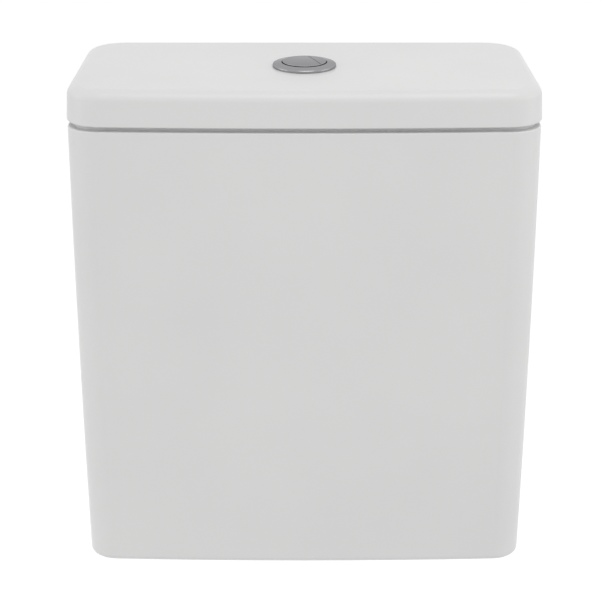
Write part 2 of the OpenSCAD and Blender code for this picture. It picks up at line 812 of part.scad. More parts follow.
module lift_yoke() {
    arm = 7;
    color("dodgerblue") difference() {
        union() {
            translate([0, 0, yoke_z]) cylinder(r = stop_ring_r + 1, h = yoke_height);
            mirror([1, 0, 0]) {
                translate([tube_r, -rocker_width / 2, yoke_z])
                    cube([post_x + strip - tube_r, rocker_width, arm]);
                hooked_post(yoke_z);
            }
        }
        translate([0, 0, yoke_z - overcut])
            cylinder(r = tube_r + running_play, h = yoke_height + 2 * overcut);
    }
}

// Rocker on the half-flush side, with its pad raised
module rocker() {
    translate([pivot_x, 0, pivot_level]) rotate([0, rocker_tilt, 0]) rotate([90, 0, 0])
        linear_extrude(height = rocker_width, center = true) difference() {
            union() {
                translate([-pad_arm, -rocker_bar / 2]) square([pad_arm + lift_arm, rocker_bar]);
                translate([-pad_arm, 0]) circle(r = pad_nose_r);
                translate([lift_arm, 0]) circle(r = lift_nose_r);
                circle(r = rocker_hub_r);
            }
            circle(d = pin_diameter + 2 * running_play);
        }
}

module full_flush_rocker() { color("dodgerblue") mirror([1, 0, 0]) rocker(); }
module half_flush_rocker() { color("white") rocker(); }

module rocker_pins() {
    length = 2 * column_y + cheek + 2;
    color("silver") for (side = [-1, 1]) translate([side * pivot_x, 0, pivot_level]) rotate([90, 0, 0])
        cylinder(d = pin_diameter, h = length, center = true);
}

// Strip that the half-flush rocker lifts, with a stop under its float
module half_flush_link() {
    low_z = tower_ring_levels[1] - 10;
    color("white") union() {
        hooked_post(low_z);
        translate([post_x - stop_ring, -rocker_width / 2 - 2, flush_float_level - stop_ring])
            cube([strip + 2 * stop_ring, rocker_width + 4, stop_ring]);
    }
}

module half_flush_float() {
    slot_x = strip + 2 * running_play;
    slot_y = rocker_width + 2 * running_play;
    color("royalblue") translate([post_x + strip / 2, 0, flush_float_level]) difference() {
        translate([-half_float_depth / 2, -half_float_width / 2, 0])
            cube([half_float_depth, half_float_width, flush_float_height]);
        translate([-slot_x / 2, -slot_y / 2, -overcut])
            cube([slot_x, slot_y, flush_float_height + 2 * overcut]);
    }
}

// Fill valve

module at_inlet() { translate([inlet_x, 0, 0]) children(); }

module inlet_tail() {
    engaged_z = recess_depth - inlet_nut - overcut;
    color("goldenrod") at_inlet() difference() {
        union() {
            translate([0, 0, inlet_z]) cylinder(r = inlet_r, h = engaged_z - inlet_z);
            translate([0, 0, engaged_z - overcut])
                cylinder(r = inlet_r - thread_depth, h = flange_z - engaged_z + 2 * overcut);
            translate([0, 0, flange_z]) cylinder(d = inlet_flange_diameter, h = inlet_flange);
            translate([0, 0, neck_z - overcut])
                cylinder(r = riser_bore_r - running_play, h = neck_length + overcut);
        }
        translate([0, 0, inlet_z - overcut])
            cylinder(d = inlet_bore, h = neck_z + neck_length - inlet_z + 2 * overcut);
    }
}

module inlet_washer() {
    color("dimgray") at_inlet() translate([0, 0, floor_z])
        ring(inlet_flange_diameter / 2, inlet_r + sliding_play, floor_washer);
}

module inlet_back_nut() {
    color("white") at_inlet() translate([0, 0, recess_depth - inlet_nut])
        hex_nut(inlet_nut_diameter, inlet_r - thread_depth + running_play, inlet_nut);
}

// Strainer cup in the inlet's bore
module inlet_filter() {
    r = inlet_bore / 2 - running_play;
    wall = 1;
    length = 20;
    color("khaki") at_inlet() translate([0, 0, inlet_z]) difference() {
        union() {
            cylinder(r = r, h = 2);
            cylinder(r = r - 0.6, h = length);
        }
        translate([0, 0, -overcut]) cylinder(r = r - 0.6 - wall, h = length - wall + overcut);
    }
}

module riser_tube() {
    color("white") at_inlet() difference() {
        union() {
            translate([0, 0, neck_z]) cylinder(r = riser_r, h = head_level - neck_z);
            translate([0, 0, float_level - sliding_play - riser_stop])
                cylinder(r = float_bore_r + 2, h = riser_stop);
        }
        translate([0, 0, neck_z - overcut])
            cylinder(r = riser_bore_r, h = head_level - neck_z + 2 * overcut);
    }
}

module fill_valve_head() {
    spout = 16;
    spout_width = refill_diameter + 4;
    color("white") at_inlet() difference() {
        union() {
            translate([0, 0, head_level]) cylinder(d = head_diameter, h = head_height);
            translate([-spout_width / 2, 0, head_level]) cube([spout_width, refill_reach, spout]);
            translate([0, refill_reach, head_level]) cylinder(d = spout_width, h = spout);
        }
        translate([0, 0, head_level - overcut]) cylinder(r = riser_bore_r, h = head_height - 4);
        translate([0, refill_reach, head_level - overcut])
            cylinder(d = refill_diameter + 2 * running_play, h = spout - 4 + overcut);
    }
}

module valve_diaphragm() {
    color("dimgray") at_inlet() translate([0, 0, head_top_z])
        cylinder(d = head_diameter - 3, h = diaphragm);
}

// Cap that closes the head and carries the lever's ears
module fill_valve_cap() {
    ear_inner = lever_width / 2 + sliding_play;
    ear_r = pin_diameter / 2 + 3;
    color("lightsteelblue") at_inlet() difference() {
        union() {
            translate([0, 0, head_top_z - cap_skirt])
                cylinder(r = cap_r, h = cap_skirt + diaphragm + cap_top);
            for (side = [-1, 1]) translate([-lever_pivot, side * (ear_inner + ear / 2), 0]) {
                translate([-ear_r, -ear / 2, cap_top_level - overcut])
                    cube([2 * ear_r, ear, lever_z - cap_top_level + overcut]);
                translate([0, 0, lever_z]) rotate([90, 0, 0]) cylinder(r = ear_r, h = ear, center = true);
            }
        }
        translate([0, 0, head_top_z - cap_skirt - overcut])
            cylinder(r = cap_r - cap_wall, h = cap_skirt + diaphragm + overcut);
        translate([-lever_pivot, 0, lever_z]) rotate([90, 0, 0])
            cylinder(d = pin_diameter + 2 * running_play, h = 4 * lever_width, center = true);
    }
}

// Lever with an eye round the adjuster, lying low while the float is down
module float_lever() {
    color("royalblue") at_inlet() translate([-lever_pivot, 0, lever_z])
        rotate([0, lever_tilt, 0]) difference() {
        union() {
            translate([0, -lever_width / 2, -lever_bar / 2])
                cube([lever_arm - eye_r, lever_width, lever_bar]);
            rotate([90, 0, 0]) cylinder(r = pin_diameter / 2 + 2.5, h = lever_width, center = true);
            translate([lever_arm, 0, -lever_bar / 2])
                cylinder(r = eye_r + eye_rim, h = lever_bar);
        }
        rotate([90, 0, 0])
            cylinder(d = pin_diameter + 2 * running_play, h = 2 * lever_width, center = true);
        translate([lever_arm, 0, -lever_bar]) cylinder(r = eye_r, h = 2 * lever_bar);
    }
}

module float_lever_pin() {
    length = lever_width + 2 * (sliding_play + ear) + 2;
    color("silver") at_inlet() translate([-lever_pivot, 0, lever_z]) rotate([90, 0, 0])
        cylinder(d = pin_diameter, h = length, center = true);
}

// Float that opens downwards, round the riser
module fill_float() {
    color("royalblue") at_inlet() translate([0, 0, float_level]) difference() {
        ring(float_r, float_bore_r, float_height);
        translate([0, 0, -2 * float_wall])
            ring(float_r - float_wall, float_bore_r + float_wall, float_height);
        translate([adjuster_reach, 0, 0])
            cylinder(d = adjuster_diameter - 2 + 2 * running_play, h = float_height + overcut);
    }
}

// Screwed rod from the float to the lever, with a collar each side of the lever's eye
module float_adjuster() {
    collar_r = eye_r + 1.5;
    half_gap = lever_bar / 2 + collar_gap;
    color("white") at_inlet() translate([adjuster_reach, 0, 0]) union() {
        translate([0, 0, float_top_z])
            cylinder(d = adjuster_diameter, h = eye_z + adjuster_spare - float_top_z);
        translate([0, 0, float_top_z - float_wall])
            cylinder(d = adjuster_diameter - 2, h = float_wall + overcut);
        translate([0, 0, eye_z - half_gap - collar]) cylinder(r = collar_r, h = collar);
        translate([0, 0, eye_z + half_gap]) cylinder(r = collar_r, h = collar);
    }
}

module refill_tube() {
    color("white") at_inlet() translate([0, refill_reach, refill_level])
        ring(refill_diameter / 2, refill_diameter / 2 - refill_wall, head_level + 12 - refill_level);
}

// Fixings

// The nut grips the shank above the free thread
module coupling_bolts() {
    shank_end = recess_depth - bolt_washer - bolt_nut - overcut;
    tip_z = recess_depth - bolt_length;
    color("silver") at_bolts() union() {
        translate([0, 0, bolt_head_z]) cylinder(d = bolt_head_diameter, h = bolt_head);
        translate([0, 0, shank_end - overcut])
            cylinder(r = engaged_bolt_r, h = bolt_head_z - shank_end + 2 * overcut);
        translate([0, 0, tip_z]) cylinder(r = bolt_r, h = shank_end - tip_z);
    }
}

module bolt_seals() {
    color("dimgray") at_bolts() translate([0, 0, floor_z])
        ring(bolt_seal_diameter / 2, engaged_bolt_r + running_play, bolt_seal);
}

module bolt_washers() {
    color("silver") at_bolts() translate([0, 0, recess_depth - bolt_washer])
        ring(bolt_washer_diameter / 2, bolt_r + sliding_play, bolt_washer);
}

module bolt_nuts() {
    color("silver") at_bolts() translate([0, 0, recess_depth - bolt_washer - bolt_nut])
        hex_nut(bolt_nut_diameter, engaged_bolt_r + running_play, bolt_nut);
}

tank();
lid();
lid_pads();
button_bezel();
full_flush_button();
half_flush_button();
button_housing();
button_lock_nut();
full_flush_rod();
half_flush_rod();
full_button_spring();
half_button_spring();
flush_valve_base();
valve_floor_washer();
valve_back_nut();
coupling_gasket();
valve_cage();
valve_tower();
overflow_tube();
flush_seal();
full_flush_float();
lift_yoke();
full_flush_rocker();
half_flush_rocker();
rocker_pins();
half_flush_link();
half_flush_float();
inlet_tail();
inlet_washer();
inlet_back_nut();
inlet_filter();
riser_tube();
fill_valve_head();
valve_diaphragm();
fill_valve_cap();
float_lever();
float_lever_pin();
fill_float();
float_adjuster();
refill_tube();
coupling_bolts();
bolt_seals();
bolt_washers();
bolt_nuts();
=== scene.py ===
from math import acos, atan, atan2, cos, pi, radians, sin, tan

import bmesh
import bpy
from mathutils import Matrix, Vector


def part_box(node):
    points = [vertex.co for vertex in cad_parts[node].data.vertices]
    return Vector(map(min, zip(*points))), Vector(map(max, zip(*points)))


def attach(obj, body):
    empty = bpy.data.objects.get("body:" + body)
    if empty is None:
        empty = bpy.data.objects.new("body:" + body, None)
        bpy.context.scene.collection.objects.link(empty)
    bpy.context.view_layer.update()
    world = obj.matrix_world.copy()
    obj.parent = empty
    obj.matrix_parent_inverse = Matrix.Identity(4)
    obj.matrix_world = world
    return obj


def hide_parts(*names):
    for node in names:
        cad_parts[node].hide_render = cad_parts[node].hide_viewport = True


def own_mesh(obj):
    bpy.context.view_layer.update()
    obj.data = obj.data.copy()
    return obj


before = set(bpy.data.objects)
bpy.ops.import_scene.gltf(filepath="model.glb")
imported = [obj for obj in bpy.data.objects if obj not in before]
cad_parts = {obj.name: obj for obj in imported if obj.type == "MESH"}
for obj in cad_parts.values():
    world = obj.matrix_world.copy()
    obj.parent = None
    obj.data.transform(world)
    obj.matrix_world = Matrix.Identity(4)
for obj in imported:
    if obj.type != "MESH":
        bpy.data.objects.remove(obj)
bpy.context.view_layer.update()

# Tank: slip-cast vitreous china under a white glaze, wiped bare on the ring that it stood on in
# the kiln. The mould leans out from foot to rim, and its front and sides swell a little.
mm = 0.001
tank_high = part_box("tank")[1]
wall_y = tank_high.y
rim_z = 357.5 * mm
step_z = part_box("lid_pads")[0].z
rim_half = 179 * mm
rim_front = 77 * mm
foot_half = 171.5 * mm
foot_front = 67.5 * mm
side_swell = 0.9 * mm
front_bow = 3.6 * mm
back_narrowing = 6.6 * mm
tank_wall = 10 * mm
rim_radius = 1.2 * mm
rim_ledge = 6 * mm
tank_floor_z = 34 * mm
foot_wall = 14 * mm
foot_recess_z = 22 * mm
outlet_hole = 33.5 * mm
bolt_x = 75 * mm
inlet_x = (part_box("inlet_tail")[0].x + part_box("inlet_tail")[1].x) / 2
wall_hole = (90 * mm, 310 * mm)
foot_corner = 22 * mm
foot_back_corner = 27 * mm
rim_corner = 23 * mm
rim_back_corner = 28 * mm
foot_radius = 5 * mm
step_radius = 1 * mm
hollow_radius = 8 * mm
bolt_hole = 6 * mm
inlet_hole = 12.5 * mm
screw_hole = 4.5 * mm
outer_lifts = 8
inner_lifts = 6


def plan_face(bm, half, front, back, corner, back_corner, z):
    """Level face with a bowed front, sides that close in to a flat back, and four round corners."""
    lean = atan(back_narrowing / (front + back))
    reach = half - corner
    slope = atan(2 * front_bow / reach)

    def meeting_point(x, y, radius, low, high):
        turn, middle = (high - low) / 2, (high + low) / 2
        away = radius / cos(turn)
        return (x + away * cos(middle), y + away * sin(middle)), radius * tan(turn)

    front_end, front_cut = meeting_point(reach, corner - front, corner, slope - pi / 2, lean)
    back_end, back_cut = meeting_point(half - back_narrowing - back_corner, back - back_corner,
                                       back_corner, lean, pi / 2)
    bowed = [(reach * s / 4, -front - front_bow * (1 - (s / 4) ** 2)) for s in range(-3, 4)]
    ends = [front_end, back_end, (-back_end[0], back_end[1]), (-front_end[0], front_end[1])]
    verts = [bm.verts.new((x, y, z)) for x, y in bowed + ends]
    bm.faces.new(verts)
    for cut, pair in ((front_cut, (verts[-4], verts[-1])), (back_cut, (verts[-3], verts[-2]))):
        bmesh.ops.bevel(bm, geom=pair, affect="VERTICES", offset=cut, segments=12, profile=0.5,
                        material=-1)
    return verts[0].link_faces[0]


def ring_in(bm, face, *plan):
    """Opens a level face round a smaller one, and returns the smaller one."""
    inner = plan_face(bm, *plan, face.verts[0].co.z)
    face.normal_update()
    if face.normal.z < 0:
        inner.normal_flip()
    loops = list(face.edges) + list(inner.edges)
    bmesh.ops.delete(bm, geom=[face], context="FACES_ONLY")
    bmesh.ops.bridge_loops(bm, edges=loops)
    return inner


def draw_face(bm, face, z, wide=1, deep=1, pivot_y=0):
    """Extrudes a level face to height z, and scales it across and about a depth."""
    moved = bmesh.ops.extrude_discrete_faces(bm, faces=[face])["faces"][0]
    ring = list(moved.verts)
    bmesh.ops.scale(bm, verts=ring, vec=(wide, deep, 1), space=Matrix.Translation((0, -pivot_y, 0)))
    bmesh.ops.translate(bm, verts=ring, vec=(0, 0, z - ring[0].co.z))
    return moved


def level_face(bm, z):
    """The largest face at height z."""
    found = [f for f in bm.faces if all(abs(v.co.z - z) < 0.01 * mm for v in f.verts)]
    return max(found, key=lambda f: f.calc_area())


def round_level(bm, z, radius, segments=6):
    """Rounds the edges at height z where two faces meet at an angle."""
    edges = [e for e in bm.edges if e.is_manifold and e.calc_face_angle() > radians(30)
             and all(abs(v.co.z - z) < 0.01 * mm for v in e.verts)]
    bmesh.ops.bevel(bm, geom=edges, affect="EDGES", offset=radius, segments=segments, profile=0.5,
                    material=-1)


def seal(bm):
    """Merges doubled points and turns every face outwards."""
    bmesh.ops.remove_doubles(bm, verts=bm.verts, dist=0.002 * mm)
    bmesh.ops.recalc_face_normals(bm, faces=bm.faces)


def drill(bm, *holes, sides=48, keep="DIFFERENCE"):
    """Cuts round holes, each given by its two ends and its radius, or keeps only what is inside them."""
    bits = bmesh.new()
    for start, end, radius in holes:
        run = Vector(end) - Vector(start)
        turn = run.to_track_quat("Z", "Y").to_matrix().to_4x4()
        pose = Matrix.Translation((Vector(start) + Vector(end)) / 2) @ turn
        bmesh.ops.create_cone(bits, cap_ends=True, segments=sides, radius1=radius, radius2=radius,
                              depth=run.length, matrix=pose)
    blank, bit = (bpy.data.objects.new(n, bpy.data.meshes.new(n)) for n in ("blank", "bit"))
    for obj, shape in ((blank, bm), (bit, bits)):
        shape.to_mesh(obj.data)
        bpy.context.scene.collection.objects.link(obj)
    cut = blank.modifiers.new("holes", "BOOLEAN")
    cut.object = bit
    cut.operation = keep
    cut.solver = "EXACT"
    result = blank.evaluated_get(bpy.context.evaluated_depsgraph_get())
    drilled = bpy.data.meshes.new_from_object(result)
    bm.clear()
    bm.from_mesh(drilled)
    bits.free()
    for mesh in (blank.data, bit.data, drilled):
        bpy.data.meshes.remove(mesh)


def place(name, bm, material, body, slot, *nodes, crisp=35):
    """Makes a shape a piece with its finish, on its body and in the place of its CAD nodes."""
    seal(bm)
    for face in bm.faces:
        face.smooth = True
    mesh = bpy.data.meshes.new(name)
    bm.to_mesh(mesh)
    bm.free()
    mesh.set_sharp_from_angle(angle=radians(crisp))
    mesh.materials.append(material)
    piece = bpy.data.objects.new(name, mesh)
    bpy.context.scene.collection.objects.link(piece)
    piece.modifiers.new("even shading", "WEIGHTED_NORMAL").keep_sharp = True
    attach(piece, body)
    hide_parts(*nodes)
    return piece


def make_mottle():
    """Soft clouds and a fine grain, as any fired, cast or moulded skin has close up."""
    tree = bpy.data.node_groups.new("mottle", "ShaderNodeTree")
    for name, kind in (("Position", "NodeSocketVector"), ("Cloud Scale", "NodeSocketFloat"),
                       ("Grain Scale", "NodeSocketFloat")):
        tree.interface.new_socket(name, in_out="INPUT", socket_type=kind)
    for name in ("Cloud", "Grain"):
        tree.interface.new_socket(name, in_out="OUTPUT", socket_type="NodeSocketFloat")
    given = tree.nodes.new("NodeGroupInput")
    out = tree.nodes.new("NodeGroupOutput")
    for name, detail, low, high in (("Cloud", 3, 0.3, 0.7), ("Grain", 2, 0.25, 0.75)):
        noise = tree.nodes.new("ShaderNodeTexNoise")
        noise.inputs["Detail"].default_value = detail
        spread = tree.nodes.new("ShaderNodeMapRange")
        spread.inputs["From Min"].default_value = low
        spread.inputs["From Max"].default_value = high
        tree.links.new(given.outputs["Position"], noise.inputs["Vector"])
        tree.links.new(given.outputs[name + " Scale"], noise.inputs["Scale"])
        tree.links.new(noise.outputs["Fac"], spread.inputs["Value"])
        tree.links.new(spread.outputs["Result"], out.inputs[name])
    return tree


mottle = make_mottle()


def finish(name, colours, roughness, cloud, grain, relief, metallic=0, stretch=(1, 1, 1), plain={}):
    """Material whose colour and roughness drift between two values, with a fine relief."""
    material = bpy.data.materials.new(name)
    material.use_nodes = True
    tree = material.node_tree
    shader = tree.nodes["Principled BSDF"]
    shader.inputs["Metallic"].default_value = metallic
    for socket, value in plain.items():
        shader.inputs[socket].default_value = value
    spot = tree.nodes.new("ShaderNodeTexCoord")
    run = tree.nodes.new("ShaderNodeMapping")
    run.inputs["Scale"].default_value = stretch
    marks = tree.nodes.new("ShaderNodeGroup")
    marks.node_tree = mottle
    marks.inputs["Cloud Scale"].default_value = cloud
    marks.inputs["Grain Scale"].default_value = grain
    tint = tree.nodes.new("ShaderNodeMix")
    tint.name = "tint"
    tint.data_type = "RGBA"
    tint.inputs[6].default_value = (*colours[0], 1)
    tint.inputs[7].default_value = (*colours[1], 1)
    polish = tree.nodes.new("ShaderNodeMapRange")
    polish.name = "polish"
    polish.inputs["To Min"].default_value, polish.inputs["To Max"].default_value = roughness
    bump = tree.nodes.new("ShaderNodeBump")
    bump.inputs["Distance"].default_value = relief
    for start, end in ((spot.outputs["Object"], run.inputs["Vector"]),
                       (run.outputs["Vector"], marks.inputs["Position"]),
                       (marks.outputs["Cloud"], tint.inputs["Factor"]),
                       (marks.outputs["Cloud"], polish.inputs["Value"]),
                       (marks.outputs["Grain"], bump.inputs["Height"]),
                       (tint.outputs[2], shader.inputs["Base Color"]),
                       (polish.outputs["Result"], shader.inputs["Roughness"]),
                       (bump.outputs["Normal"], shader.inputs["Normal"])):
        tree.links.new(start, end)
    return material


def fired_glaze(name, bare_z):
    """White glaze down to height bare_z, and pale bare clay below it."""
    material = finish(name, ((0.80, 0.80, 0.795), (0.775, 0.776, 0.772)), (0.28, 0.34), cloud=9,
                      grain=160, relief=0.02 * mm, plain={"Specular IOR Level": 0.35})
    tree = material.node_tree
    shader = tree.nodes["Principled BSDF"]
    spot = tree.nodes.new("ShaderNodeTexCoord")
    height = tree.nodes.new("ShaderNodeSeparateXYZ")
    edge = tree.nodes.new("ShaderNodeMapRange")
    edge.inputs["From Min"].default_value = bare_z - 0.2 * mm
    edge.inputs["From Max"].default_value = bare_z + 0.3 * mm
    colour = tree.nodes.new("ShaderNodeMix")
    colour.data_type = "RGBA"
    colour.inputs[6].default_value = (0.60, 0.56, 0.50, 1)
    gloss = tree.nodes.new("ShaderNodeMix")
    gloss.inputs[2].default_value = 0.8
    for start, end in ((spot.outputs["Object"], height.inputs["Vector"]),
                       (height.outputs["Z"], edge.inputs["Value"]),
                       (edge.outputs["Result"], colour.inputs["Factor"]),
                       (edge.outputs["Result"], gloss.inputs["Factor"]),
                       (tree.nodes["tint"].outputs[2], colour.inputs[7]),
                       (tree.nodes["polish"].outputs["Result"], gloss.inputs[3]),
                       (colour.outputs[2], shader.inputs["Base Color"]),
                       (gloss.outputs[0], shader.inputs["Roughness"])):
        tree.links.new(start, end)
    return material


def tank_half(z):
    s = z / rim_z
    return foot_half + (rim_half - foot_half) * s + side_swell * 4 * s * (1 - s)


def tank_depth(z):
    s = z / rim_z
    return wall_y + foot_front + (rim_front - foot_front) * s + side_swell * 4 * s * (1 - s)


tank = bmesh.new()
face = plan_face(tank, foot_half, foot_front, wall_y, foot_corner, foot_back_corner, 0).copy()
levels = [rim_z * i / outer_lifts for i in range(outer_lifts + 1)]
for low, high in zip(levels, levels[1:]):
    face = draw_face(tank, face, high, tank_half(high) / tank_half(low), tank_depth(high) / tank_depth(low),
                     wall_y)
face = ring_in(tank, face, rim_half - rim_ledge, rim_front - rim_ledge, wall_y - rim_ledge,
               rim_corner - rim_ledge, rim_back_corner - rim_ledge)
face = draw_face(tank, face, step_z)
face = ring_in(tank, face, rim_half - tank_wall, rim_front - tank_wall, wall_y - tank_wall,
               rim_corner - tank_wall, rim_back_corner - tank_wall)
levels = [step_z - (step_z - tank_floor_z) * i / inner_lifts for i in range(inner_lifts + 1)]
for high, low in zip(levels, levels[1:]):
    face = draw_face(tank, face, low, (tank_half(low) - tank_wall) / (tank_half(high) - tank_wall),
                     (tank_depth(low) - 2 * tank_wall) / (tank_depth(high) - 2 * tank_wall),
                     wall_y - tank_wall)
seal(tank)
face = ring_in(tank, level_face(tank, 0), foot_half - foot_wall, foot_front - foot_wall, wall_y - foot_wall,
               rim_corner - foot_wall, rim_back_corner - foot_wall)
draw_face(tank, face, foot_recess_z)
round_level(tank, rim_z, rim_radius)
round_level(tank, step_z, step_radius, segments=4)
round_level(tank, 0, foot_radius)
round_level(tank, tank_floor_z, hollow_radius)
round_level(tank, foot_recess_z, hollow_radius)
over = 5 * mm
drill(tank,
      *[((x, 0, foot_recess_z - over), (x, 0, tank_floor_z + over), r)
        for x, r in ((0, outlet_hole), (-bolt_x, bolt_hole), (bolt_x, bolt_hole), (inlet_x, inlet_hole))],
      *[((x, wall_y - tank_wall - over, wall_hole[1]), (x, wall_y + over, wall_hole[1]), screw_hole)
        for x in (-wall_hole[0], wall_hole[0])])
place("tank_body", tank, fired_glaze("tank_glaze", 0.6 * mm), "cistern", "glazed_white", "tank")

# Coupling bolts: two zinc-plated bolts that hold the tank down on its pan, each with a soft seal
# under its head inside the tank, and a washer and nut under the floor. The threads are rolled.
bolt_r = 4 * mm
bolt_pitch = 1.25 * mm
bolt_thread = 0.75 * mm
shank_r = 3.65 * mm
head_r = 11 * mm
socket_r = 4.6 * mm
socket_depth = 3.5 * mm
bolt_seal_r = 14 * mm
bolt_washer_r = 12 * mm
bolt_washer_bore = 4.2 * mm
bolt_nut_r = 7.5 * mm
bolt_low, bolt_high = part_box("coupling_bolts")
seal_low, seal_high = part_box("bolt_seals")
washer_low, washer_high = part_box("bolt_washers")
nut_low, nut_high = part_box("bolt_nuts")


def turned(bm, outline, x=0, y=0, steps=64):
    """Spins an outline of radii and heights round an upright axis."""
    points = [bm.verts.new((x + r, y, z)) for r, z in outline]
    closing = [] if outline[0][0] == 0 else points[:1]
    edges = [bm.edges.new(pair) for pair in zip(points, points[1:] + closing)]
    bmesh.ops.spin(bm, geom=points + edges, cent=(x, y, 0), axis=(0, 0, 1), angle=2 * pi, steps=steps,
                   use_merge=True)
    seal(bm)


def soften(bm, radius, segments=3, angle=40):
    """Rounds every edge where two faces meet at more than an angle."""
    edges = [e for e in bm.edges if e.is_manifold and e.calc_face_angle() > radians(angle)]
    bmesh.ops.bevel(bm, geom=edges, affect="EDGES", offset=radius, segments=segments, profile=0.5,
                    material=-1, clamp_overlap=True)


def wind_thread(bm, low, high, crest, pitch, depth, x=0, y=0, steps=24):
    """Winds a thread's ridge round an upright rod."""
    ridge = [bm.verts.new((x + crest - depth * d, y, low + pitch * h))
             for d, h in ((1.15, 0.04), (0, 0.42), (0, 0.58), (1.15, 0.96))]
    edges = [bm.edges.new(pair) for pair in zip(ridge, ridge[1:] + ridge[:1])]
    turns = (high - low) / pitch - 1
    count = round(turns * steps)
    bmesh.ops.spin(bm, geom=ridge + edges, cent=(x, y, 0), axis=(0, 0, 1), angle=2 * pi * turns, steps=count,
                   dvec=(0, 0, turns * pitch / count))
    bmesh.ops.holes_fill(bm, edges=[e for e in bm.edges if e.is_boundary])


def nut(bm, low, high, corner_r, bore_r, x=0, sides=6, ease=0.6 * mm):
    """Upright nut with eased corners and a plain bore."""
    bmesh.ops.create_cone(bm, cap_ends=True, segments=sides, radius1=corner_r, radius2=corner_r,
                          depth=high - low, matrix=Matrix.Translation((x, 0, (low + high) / 2)))
    soften(bm, ease)
    drill(bm, ((x, 0, low - over), (x, 0, high + over), bore_r))


def pair_of(shape):
    """One shape made at each bolt."""
    both = bmesh.new()
    for x in (-bolt_x, bolt_x):
        one = bmesh.new()
        shape(one, x)
        mesh = bpy.data.meshes.new("one_side")
        one.to_mesh(mesh)
        one.free()
        both.from_mesh(mesh)
        bpy.data.meshes.remove(mesh)
    return both


def bolt(bm, x):
    tip, top, under_head, thread_end = bolt_low.z, bolt_high.z, seal_high.z, nut_low.z - 1 * mm
    core = bolt_r - bolt_thread
    turned(bm, [(0, tip), (2.7 * mm, tip), (core, tip + 0.7 * mm), (core, thread_end), (shank_r, thread_end),
                (shank_r, under_head), (head_r, under_head), (head_r, top - 3 * mm),
                (9.6 * mm, top - 0.9 * mm), (7 * mm, top - 0.2 * mm), (0, top)], x, steps=48)
    soften(bm, 0.25 * mm, segments=2)
    drill(bm, ((x, 0, top - socket_depth), (x, 0, top + over), socket_r), sides=6)
    wind_thread(bm, tip + 0.7 * mm, thread_end, bolt_r, bolt_pitch, bolt_thread, x)


def bolt_seal(bm, x):
    bore, slope = shank_r + 0.1 * mm, 1.5 * mm
    turned(bm, [(bore, seal_low.z), (bolt_seal_r, seal_low.z), (bolt_seal_r, seal_high.z - slope),
                (bolt_seal_r - slope, seal_high.z), (bore, seal_high.z)], x)
    soften(bm, 0.8 * mm)


def bolt_washer(bm, x):
    turned(bm, [(bolt_washer_bore, washer_low.z), (bolt_washer_r, washer_low.z), (bolt_washer_r, washer_high.z),
                (bolt_washer_bore, washer_high.z)], x)
    soften(bm, 0.3 * mm)


def bolt_nut(bm, x):
    nut(bm, nut_low.z, nut_high.z, bolt_nut_r, shank_r + 0.05 * mm, x)


zinc = finish("zinc_plate", ((0.56, 0.55, 0.51), (0.47, 0.47, 0.45)), (0.28, 0.42), cloud=260, grain=2500,
              relief=0.01 * mm, metallic=1)
rubber = finish("black_rubber", ((0.022, 0.022, 0.023), (0.036, 0.036, 0.035)), (0.58, 0.75), cloud=120,
                grain=1600, relief=0.05 * mm)
place("bolt_pair", pair_of(bolt), zinc, "cistern", "zinc_steel", "coupling_bolts")
place("bolt_seal_pair", pair_of(bolt_seal), rubber, "cistern", "black_rubber", "bolt_seals")
place("bolt_washer_pair", pair_of(bolt_washer), zinc, "cistern", "zinc_steel", "bolt_washers")
place("bolt_nut_pair", pair_of(bolt_nut), zinc, "cistern", "zinc_steel", "bolt_nuts")

# Flush valve's foot: a white moulding with a screwed tail through the tank's floor, pulled down on
# a rubber washer by a large nut. A soft black ring over the nut seals the joint to the pan.
foot_low, foot_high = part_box("flush_valve_base")
outlet_r = 24 * mm
seat_r = 27 * mm
tail_r = 29.5 * mm
tail_pitch = 3 * mm
tail_thread = 1.2 * mm
slip_fit = 0.3 * mm
big_nut_r = 41 * mm
gasket_lead = 9 * mm
flange_r = foot_high.x
flange_z = 37 * mm
flange_top = 42 * mm
big_nut_low, big_nut_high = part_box("valve_back_nut")
gasket_low, gasket_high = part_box("coupling_gasket")
white_plastic = finish("white_plastic", ((0.80, 0.80, 0.775), (0.755, 0.755, 0.73)), (0.30, 0.42), cloud=35,
                       grain=1400, relief=0.012 * mm)

foot = bmesh.new()
tail_core = tail_r - tail_thread
thread_end = big_nut_low.z - 1 * mm
turned(foot, [(outlet_r, foot_low.z), (tail_core, foot_low.z), (tail_core, thread_end), (tail_r, thread_end),
              (tail_r, flange_z), (flange_r, flange_z), (flange_r, flange_top), (seat_r, flange_top),
              (seat_r, foot_high.z), (outlet_r, foot_high.z)], steps=96)
soften(foot, 0.6 * mm)
wind_thread(foot, foot_low.z + 1 * mm, thread_end, tail_r, tail_pitch, tail_thread, steps=64)
place("valve_foot", foot, white_plastic, "cistern", "white_plastic", "flush_valve_base")

washer = bmesh.new()
washer_low, washer_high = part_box("valve_floor_washer")
turned(washer, [(tail_r + slip_fit, washer_low.z), (flange_r, washer_low.z), (flange_r, washer_high.z),
                (tail_r + slip_fit, washer_high.z)], steps=96)
soften(washer, 0.6 * mm)
place("floor_washer", washer, rubber, "cistern", "black_rubber", "valve_floor_washer")

big_nut = bmesh.new()
nut(big_nut, big_nut_low.z, big_nut_high.z, big_nut_r, tail_r + 0.05 * mm, sides=8, ease=1.5 * mm)
place("foot_nut", big_nut, white_plastic, "cistern", "white_plastic", "valve_back_nut")

